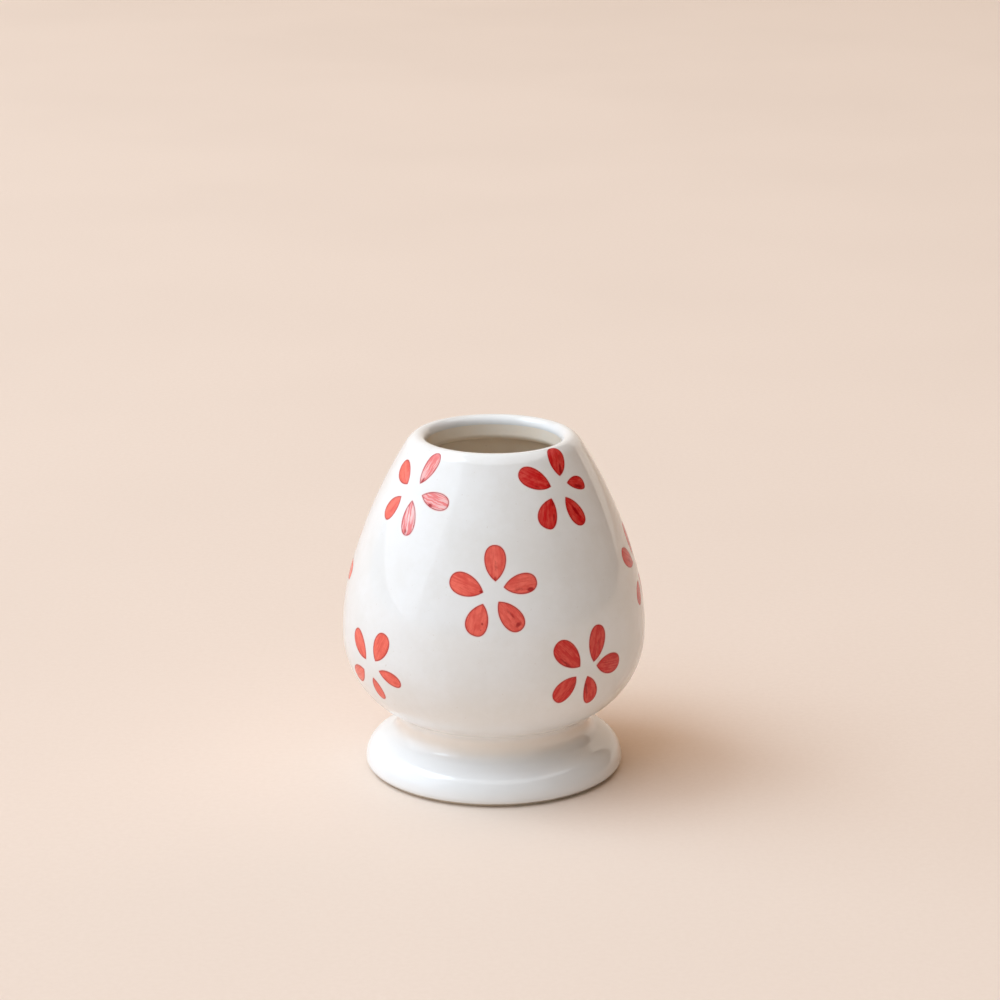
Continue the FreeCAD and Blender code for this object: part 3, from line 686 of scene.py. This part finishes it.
def flower_piece(flower, seed):
    """The five petals of a flower, each closed, as thick as the coat and flush with it."""
    shell = Shell()
    glaze = AT["glaze_thickness"]
    place_values, tone_values, edge_values, pool_values, paleness_values = [], [], [], [], []
    lanes = PETAL_LANES + 1
    for number, stroke in enumerate(STROKE_LIST[flower]):
        place, normal = OUTER.at(stroke.distance.ravel())
        turn = stroke.turn.ravel()
        normals = turned(normal, turn)
        first = shell.add_points(turned(place, turn))
        under = shell.add_points(turned(place - glaze * normal, turn))

        def corner(step, lane):
            if step in (0, PETAL_STEPS):
                lane = 0
            return step * lanes + lane

        for step in range(PETAL_STEPS):
            for lane in range(PETAL_LANES):
                spots = [corner(step, lane), corner(step + 1, lane),
                         corner(step + 1, lane + 1), corner(step, lane + 1)]
                shell.add_face([first + k for k in spots], [normals[k] for k in spots])
                spots.reverse()
                shell.add_face([under + k for k in spots], [-normals[k] for k in spots])
        ring = [corner(*spot) for spot in stroke.ring()]
        shell.add_wall([first + k for k in ring], [under + k for k in ring])
        flat = np.stack([stroke.along.ravel(), stroke.across.ravel()], axis=-1)
        outline = np.array([[stroke.along[spot], stroke.across[spot]] for spot in stroke.ring()])
        edge = distance_to_edges(flat, outline)
        pool = np.zeros(len(flat))
        for along, aside, long, wide, strength in stroke.pools:
            offset = (flat / stroke.petal - [along, aside]) / [long, wide]
            pool = np.maximum(pool, strength * np.exp(-(offset ** 2).sum(1)))
        marker = np.full((len(flat), 1), seed * STROKES_EACH + number)
        for _ in range(2):
            place_values.append(np.concatenate([flat, marker], axis=1))
            tone_values.append(np.full(len(flat), stroke.tone))
            paleness_values.append(np.full(len(flat), stroke.paleness))
            edge_values.append(edge)
            pool_values.append(pool)
    return shell.piece(f"painted_{flower}", {
        "petal_place": ("FLOAT_VECTOR", np.concatenate(place_values)),
        "petal_tone": ("FLOAT", np.concatenate(tone_values)),
        "petal_paleness": ("FLOAT", np.concatenate(paleness_values)),
        "petal_edge": ("FLOAT", np.concatenate(edge_values)),
        "petal_pool": ("FLOAT", np.concatenate(pool_values)),
    })


class Nodes:
    """The node tree of a material or the world, with its links made as its nodes are."""

    def __init__(self, owner):
        self.owner = owner
        owner.use_nodes = True
        self.tree = owner.node_tree

    def set(self, node, inputs):
        for key, value in inputs.items():
            socket = node.inputs[key]
            if isinstance(value, bpy.types.NodeSocket):
                self.tree.links.new(value, socket)
            else:
                socket.default_value = value

    def add(self, kind, inputs=None, **settings):
        node = self.tree.nodes.new(kind)
        for key, value in settings.items():
            setattr(node, key, value)
        self.set(node, inputs or {})
        return node

    def math(self, operation, one, other=0.0):
        return self.add("ShaderNodeMath", {0: one, 1: other}, operation=operation).outputs[0]

    def span(self, value, low, high, start=0.0, end=1.0):
        """A value's place between two limits, smoothed, and set between two others."""
        inputs = {"Value": value, "From Min": low, "From Max": high, "To Min": start, "To Max": end}
        return self.add("ShaderNodeMapRange", inputs, interpolation_type="SMOOTHSTEP").outputs[0]

    def mix(self, share, one, other):
        """A colour between two others."""
        node = self.add("ShaderNodeMix", data_type="RGBA")
        self.set(node, {0: share, 6: one, 7: other})
        return node.outputs[2]

    def noise(self, vector, scale, detail=2.0, roughness=0.5):
        inputs = {"Vector": vector, "Scale": scale, "Detail": detail, "Roughness": roughness}
        return self.add("ShaderNodeTexNoise", inputs).outputs["Fac"]

    def stretched(self, vector, scale):
        return self.add("ShaderNodeMapping", {"Vector": vector, "Scale": scale}).outputs[0]

    def bump(self, height, distance, strength=1.0, normal=None):
        inputs = {"Height": height, "Distance": distance, "Strength": strength}
        if normal is not None:
            inputs["Normal"] = normal
        return self.add("ShaderNodeBump", inputs).outputs[0]

    def read(self, name, output="Fac"):
        return self.add("ShaderNodeAttribute", attribute_name=name).outputs[output]

    def place(self):
        """The place on the object, in millimetres."""
        place = self.add("ShaderNodeTexCoord").outputs["Object"]
        return self.stretched(place, (1 / MM, 1 / MM, 1 / MM))

    def shade(self, inputs):
        self.set(self.tree.nodes["Principled BSDF"], inputs)
        return self.owner


def colour(red, green, blue):
    """A colour from its 0 to 255 values."""
    shares = [value / 255 for value in (red, green, blue)]
    linear = [share / 12.92 if share <= 0.04045 else ((share + 0.055) / 1.055) ** 2.4 for share in shares]
    return (*linear, 1.0)


WHITE_THIN = colour(237, 235, 231)
WHITE_THICK = colour(242, 241, 239)
# Painted warm light: the white glaze, lighter and warmer for the inside, where light bounces round the hollow
WHITE_PAINTED_WARM_THIN = colour(254, 240, 220)
WHITE_PAINTED_WARM_THICK = colour(255, 245, 229)
SPECK_BROWN = colour(196, 178, 156)
FOOT_PAINTED_LIGHT = colour(246, 245, 243)
FOOT_PAINTED_LIGHT_HEIGHTS = (8.0, 13.0)
CREASE_PAINTED_LIGHT = colour(255, 241, 226)
CREASE_PAINTED_LIGHT_REACH = (0.5, 3.5)
BLEED_PINK = colour(240, 150, 138)
BLEED_REACH = 0.30
GLAZE_IOR = 1.52
RIPPLE_HEIGHT = 0.00014
SKIN_HEIGHT = 0.000006


def glaze_material(name, thin, thick, halo):
    """A glossy glaze, a little uneven in depth and surface. With halo set it also has painted light low on
    the foot, painted warm light and reflection at the crease, and a pink bleed round the petals.
    """
    nodes = Nodes(bpy.data.materials.new(name))
    place = nodes.place()
    cloud = nodes.noise(place, 0.09, 3.0, 0.55)
    fine = nodes.noise(place, 0.7, 3.0, 0.6)
    depth = nodes.span(nodes.math("ADD", nodes.math("MULTIPLY", cloud, 0.75),
                                  nodes.math("MULTIPLY", fine, 0.25)), 0.32, 0.68)
    tint = nodes.mix(depth, thin, thick)
    speck = nodes.noise(place, 1.9, 1.0, 0.4)
    tint = nodes.mix(nodes.span(speck, 0.755, 0.80, 0.0, 0.25), tint, SPECK_BROWN)
    if halo:
        height = nodes.add("ShaderNodeSeparateXYZ", {0: place}).outputs[2]
        # painted light: the glaze is made lighter low on the foot, where the bulb's overhang shades it
        tint = nodes.mix(nodes.span(height, *FOOT_PAINTED_LIGHT_HEIGHTS, 1.0, 0.0), tint, FOOT_PAINTED_LIGHT)
        # painted warm light and painted reflection of the bulb's underside, in a band round the crease
        from_crease = nodes.math("ABSOLUTE", nodes.math("SUBTRACT", height, AT["cove_z"]))
        tint = nodes.mix(nodes.span(from_crease, *CREASE_PAINTED_LIGHT_REACH, 0.8, 0.0), tint, CREASE_PAINTED_LIGHT)
        near = nodes.span(nodes.read("halo"), 0.0, BLEED_REACH, 0.34, 0.0)
        tint = nodes.mix(near, tint, BLEED_PINK)
    ripple = nodes.noise(place, 0.12, 1.0, 0.4)
    skin = nodes.noise(place, 1.1, 2.0, 0.5)
    normal = nodes.bump(ripple, RIPPLE_HEIGHT, 0.35)
    normal = nodes.bump(skin, SKIN_HEIGHT, 0.3, normal)
    return nodes.shade({
        "Base Color": tint,
        "Roughness": nodes.span(fine, 0.25, 0.75, 0.02, 0.045),
        "IOR": GLAZE_IOR,
        "Normal": normal,
    })


RED_THIN = colour(255, 126, 106)
RED_DEEP = colour(206, 12, 18)
RED_INNER_EDGE = colour(198, 26, 30)
RED_RIM = colour(140, 20, 24)
RED_POOL = colour(164, 8, 16)
PALE_STREAK_PINK = colour(236, 130, 130)
PALE_STREAK_WHITE = colour(248, 208, 206)


def petal_material():
    """Brushed overglaze red: streaks along each stroke, pools where the brush rested, a darker rim."""
    nodes = Nodes(bpy.data.materials.new("petal_red"))
    place = nodes.read("petal_place", "Vector")
    edge = nodes.read("petal_edge")
    pool = nodes.read("petal_pool")
    tone = nodes.read("petal_tone")
    paleness = nodes.read("petal_paleness")
    broad = nodes.noise(nodes.stretched(place, (0.16, 1.1, 3.7)), 1.0, 3.0, 0.6)
    hair = nodes.noise(nodes.stretched(place, (0.30, 4.5, 7.1)), 1.0, 3.0, 0.65)
    blot = nodes.noise(nodes.stretched(place, (0.9, 1.2, 5.3)), 1.0, 4.0, 0.65)
    grain = nodes.noise(nodes.stretched(place, (6.0, 7.0, 2.9)), 1.0, 2.0, 0.6)
    wave = nodes.math("MULTIPLY", nodes.noise(nodes.stretched(place, (0.8, 0.5, 6.1)), 1.0, 2.0), 1.6)
    bent = nodes.add("ShaderNodeCombineXYZ", {1: wave}).outputs[0]
    wavy = nodes.add("ShaderNodeVectorMath", {0: nodes.stretched(place, (0.22, 2.6, 9.3)), 1: bent},
                     operation="ADD").outputs[0]
    streak = nodes.noise(wavy, 1.0, 2.0, 0.55)
    depth = nodes.math("ADD", nodes.math("MULTIPLY", broad, 0.45), nodes.math("MULTIPLY", hair, 0.35))
    depth = nodes.math("ADD", depth, nodes.math("MULTIPLY", blot, 0.30))
    depth = nodes.span(depth, 0.42, 0.68)
    depth = nodes.math("ADD", nodes.math("MULTIPLY", depth, 0.36), nodes.math("MULTIPLY", tone, 0.86))
    depth = nodes.math("ADD", depth, nodes.math("MULTIPLY", grain, 0.12))
    tint = nodes.mix(nodes.span(depth, 0.10, 1.15), RED_THIN, RED_DEEP)
    # pale pink with paler streaks, mixed in by each stroke's paleness
    faint = nodes.mix(nodes.span(streak, 0.44, 0.60), PALE_STREAK_PINK, PALE_STREAK_WHITE)
    tint = nodes.mix(paleness, tint, faint)
    tint = nodes.mix(nodes.span(edge, 0.05, 0.60, 0.35, 0.0), tint, RED_INNER_EDGE)
    rim = nodes.span(nodes.math("ABSOLUTE", nodes.math("SUBTRACT", edge, 0.10)), 0.02, 0.12, 0.80, 0.0)
    tint = nodes.mix(rim, tint, RED_RIM)
    ragged = nodes.math("ADD", pool, nodes.math("MULTIPLY", nodes.math("SUBTRACT", blot, 0.5), 0.7))
    tint = nodes.mix(nodes.span(ragged, 0.22, 0.74, 0.0, 0.85), tint, RED_POOL)
    tint = nodes.mix(nodes.span(edge, 0.0, 0.05, 0.40, 0.0), tint, BLEED_PINK)
    ridges = nodes.math("ADD", nodes.math("MULTIPLY", hair, 0.7), nodes.math("MULTIPLY", broad, 0.6))
    normal = nodes.bump(ridges, 0.00006, 0.8)
    normal = nodes.bump(nodes.span(edge, 0.0, 0.25), 0.00002, 0.6, normal)
    return nodes.shade({
        "Base Color": tint,
        "Roughness": nodes.span(blot, 0.3, 0.7, 0.12, 0.22),
        "Specular IOR Level": 0.28,
        "Normal": normal,
    })


CLAY_LIGHT = colour(226, 212, 194)
CLAY_DARK = colour(198, 178, 154)
CLAY_HANDLED = colour(206, 184, 158)
CARD_WARM = colour(244, 228, 214)
CARD_COOL = colour(241, 225, 211)
CARD_FIBRE = colour(237, 220, 205)
CARD_FAR = colour(239, 220, 205)


def clay_material():
    """Bare fired clay: matt, fine-grained, a little darker where it has been handled."""
    nodes = Nodes(bpy.data.materials.new("fired_clay_bare"))
    place = nodes.place()
    grain = nodes.noise(place, 3.5, 4.0, 0.65)
    patch = nodes.noise(place, 0.25, 2.0, 0.5)
    tint = nodes.mix(nodes.span(grain, 0.3, 0.7), CLAY_LIGHT, CLAY_DARK)
    tint = nodes.mix(nodes.span(patch, 0.45, 0.7, 0.0, 0.5), tint, CLAY_HANDLED)
    return nodes.shade({
        "Base Color": tint,
        "Roughness": nodes.span(grain, 0.2, 0.8, 0.6, 0.85),
        "Normal": nodes.bump(grain, 0.00008, 0.7),
    })


def floor_material():
    """Matt card, with a faint fibre."""
    nodes = Nodes(bpy.data.materials.new("card_floor"))
    place = nodes.place()
    fibre = nodes.noise(place, 0.8, 4.0, 0.6)
    cloud = nodes.noise(place, 0.006, 2.0, 0.5)
    tint = nodes.mix(nodes.span(cloud, 0.3, 0.7), CARD_WARM, CARD_COOL)
    tint = nodes.mix(nodes.span(fibre, 0.3, 0.7, 0.0, 0.35), tint, CARD_FIBRE)
    return nodes.shade({
        "Base Color": tint,
        "Roughness": 0.85,
        "Specular IOR Level": 0.2,
        "Normal": nodes.bump(fibre, 0.00006, 0.4),
    })


def put(piece, material, slot, *nodes):
    """Gives a new piece its material, and ties it to the CAD."""
    piece.data.materials.append(material)
    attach(piece, "root")
    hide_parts(*nodes)


def dress_cad(node, material):
    """A better material on a CAD node's own slots."""
    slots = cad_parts[node].material_slots
    for slot in slots:
        slot.material = material


outside_glaze = glaze_material("glaze_white", WHITE_THIN, WHITE_THICK, True)
plain_glaze = glaze_material("glaze_white_plain", WHITE_THIN, WHITE_THICK, False)
# the inside glaze carries painted warm light in its colours
inside_glaze = glaze_material("glaze_inside", WHITE_PAINTED_WARM_THIN, WHITE_PAINTED_WARM_THICK, False)
red = petal_material()
clay = clay_material()

put(outer_coat(), outside_glaze, "white_glaze", "outer_glaze")
put(lathe("glaze_inside", liner_face()), inside_glaze, "liner_glaze", "liner_glaze")
put(lathe("glaze_underside", underside_face()), plain_glaze, "white_glaze", "underside_glaze")
for seed, flower in enumerate(FLOWERS):
    put(flower_piece(flower, seed), red, "flower_red", flower)
for node in ("bulb", "foot"):
    dress_cad(node, clay)


# The camera, fitted to the photograph: its lens and the object's axis in pixels, its pitch in degrees, and
# its distance and the height of its aim in metres
FRAME_PIXELS = 1000
FOCAL_PIXELS = 3034
AXIS_PIXEL = 493.9
SENSOR_WIDTH = 36.0
CAMERA_PITCH = 16.264
CAMERA_DISTANCE = 0.64525
AIM_HEIGHT = 0.059339
CLIP_RANGE = (0.01, 50)


def make_camera():
    data = bpy.data.cameras.new("camera")
    data.sensor_width = SENSOR_WIDTH
    data.lens = SENSOR_WIDTH * FOCAL_PIXELS / FRAME_PIXELS
    data.shift_x = 0.5 - AXIS_PIXEL / FRAME_PIXELS
    data.clip_start, data.clip_end = CLIP_RANGE
    camera = bpy.data.objects.new("camera", data)
    camera.location = (0, -CAMERA_DISTANCE * cosine(CAMERA_PITCH),
                       AIM_HEIGHT + CAMERA_DISTANCE * sine(CAMERA_PITCH))
    camera.rotation_euler = (math.radians(90 - CAMERA_PITCH), 0, 0)
    bpy.context.scene.collection.objects.link(camera)
    bpy.context.scene.camera = camera


FLOOR_HALF = 6.0
FLOOR_DIVISIONS = 8


def make_floor():
    """The pale card that the object stands on."""
    ticks = np.linspace(-FLOOR_HALF, FLOOR_HALF, FLOOR_DIVISIONS + 1)
    points = [(x, y, 0.0) for y in ticks for x in ticks]
    across = FLOOR_DIVISIONS + 1
    faces = [(r * across + c, r * across + c + 1, (r + 1) * across + c + 1, (r + 1) * across + c)
             for r in range(FLOOR_DIVISIONS) for c in range(FLOOR_DIVISIONS)]
    mesh = bpy.data.meshes.new("floor")
    mesh.from_pydata(points, [], faces)
    floor = bpy.data.objects.new("floor", mesh)
    bpy.context.scene.collection.objects.link(floor)
    floor.data.materials.append(floor_material())


# The light of each window and each part of the room, red, green and blue. The room as the glaze mirrors it is
# apart, at a level of its own.
LIGHT = {
    "window": (0.95, 1.02, 1.14),
    "upper": (3.20, 4.02, 4.72),
    "upper_front": (1.82, 2.32, 2.96),
    "upper_back": (0.60, 0.62, 0.60),
    "front": (0.56, 0.63, 0.67),
    "right": (0.0, 0.0, 0.0),
    "back": (0.50, 0.18, 0.0),
    "left": (0.22, 0.28, 0.34),
    "top": (0.28, 0.21, 0.13),
    "zenith": (1.22, 0.98, 0.80),
    "mirrored": (1.03, 1.06, 1.08),
}
MIRRORED = {
    "front": (0.52, 0.53, 0.53),
    "right": (0.03, 0.03, 0.03),
    "back": (0.96, 0.84, 0.73),
    "left": (0.68, 0.72, 0.77),
    "top": (2.00, 1.98, 1.96),
}

# Where one part of the room gives way to the next, as light and as the glaze mirrors it: the side that it is
# on, 1 right and -1 left, the azimuths there, and the part. Overhead, the heights of a direction of length 1.
LIT_SIDES = ((1, 5, 45, "right"), (1, 118, 127, "back"), (-1, 45, 60, "left"), (-1, 118, 130, "back"))
LIT_OVERHEAD = ((0.5, 0.75, "top"), (0.82, 0.92, "zenith"))
MIRRORED_SIDES = ((1, 48, 62, "right"), (0, 125, 126, "back"), (-1, 45, 47, "left"), (-1, 121, 123, "back"))
MIRRORED_OVERHEAD = ((0.73, 0.82, "top"),)
# The dark wall's far edge, on side 0, leans back by this angle in radians at a height of 1
LEAN = 0.9

# Each window: its azimuth, its distance, how high its middle is, its width, its height, and its roll
WINDOWS = {
    "window": (-88, 2.5, 1.45, 3.6, 2.7, -10),
    "upper": (-88, 2.5, 3.6, 2.6, 1.8, -10),
    "upper_front": (-35, 2.5, 3.4, 2.0, 1.8, -10),
    "upper_back": (-130, 2.5, 3.6, 2.6, 1.8, -10),
}


def make_window(name):
    """A wide soft window, aimed at the object."""
    azimuth, distance, rise, width, height, roll = WINDOWS[name]
    data = bpy.data.lights.new(name, "AREA")
    data.shape = "RECTANGLE"
    data.size = width
    data.size_y = height
    strength = max(LIGHT[name])
    data.energy = strength * math.pi * width * height
    data.color = [share / strength for share in LIGHT[name]]
    window = bpy.data.objects.new(name, data)
    window.location = (distance * sine(azimuth), -distance * cosine(azimuth), rise)
    aim = -window.location
    turn = aim.to_track_quat("-Z", "Y") @ Quaternion((0, 0, 1), math.radians(roll))
    window.rotation_euler = turn.to_euler()
    window.visible_camera = False
    # the photograph shows no image of this one on the bulb's front
    window.visible_glossy = name != "upper_front"
    bpy.context.scene.collection.objects.link(window)


def make_world():
    """The room: a side of it to the right is dark. Past the floor the camera sees the card's own colour."""
    world = bpy.data.worlds.new("room")
    bpy.context.scene.world = world
    nodes = Nodes(world)
    place = nodes.add("ShaderNodeTexCoord").outputs["Generated"]
    split = nodes.add("ShaderNodeSeparateXYZ", {0: place}).outputs
    azimuth = nodes.math("ARCTAN2", split[0], nodes.math("MULTIPLY", split[1], -1.0))
    mirrored = nodes.math("MULTIPLY", azimuth, -1.0)
    leaning = nodes.math("SUBTRACT", azimuth, nodes.math("MULTIPLY", split[2], LEAN))
    turned_to = {1: azimuth, -1: mirrored, 0: leaning}

    def room(sides, overhead, look):
        """The room's colour in every direction, from the look of each of its parts."""
        shade = look("front")
        for side, low, high, part in sides:
            share = nodes.span(turned_to[side], math.radians(low), math.radians(high))
            shade = nodes.mix(share, shade, look(part))
        for low, high, part in overhead:
            shade = nodes.mix(nodes.span(split[2], low, high), shade, look(part))
        return nodes.add("ShaderNodeBackground", {"Color": shade}).outputs[0]

    def as_light(part):
        return (*LIGHT[part], 1)

    def as_seen_in_glaze(part):
        return (*(one * other for one, other in zip(MIRRORED[part], LIGHT["mirrored"])), 1)

    lit = room(LIT_SIDES, LIT_OVERHEAD, as_light)
    glossy = room(MIRRORED_SIDES, MIRRORED_OVERHEAD, as_seen_in_glaze)
    seen = nodes.add("ShaderNodeBackground", {"Color": CARD_FAR}).outputs[0]
    ray = nodes.add("ShaderNodeLightPath").outputs
    both = nodes.add("ShaderNodeMixShader", {0: ray["Is Glossy Ray"], 1: lit, 2: glossy}).outputs[0]
    every = nodes.add("ShaderNodeMixShader", {0: ray["Is Camera Ray"], 1: both, 2: seen}).outputs[0]
    nodes.tree.links.new(every, nodes.tree.nodes["World Output"].inputs["Surface"])


make_camera()
make_floor()
for name in WINDOWS:
    make_window(name)
make_world()
bpy.context.scene.view_settings.view_transform = "Standard"
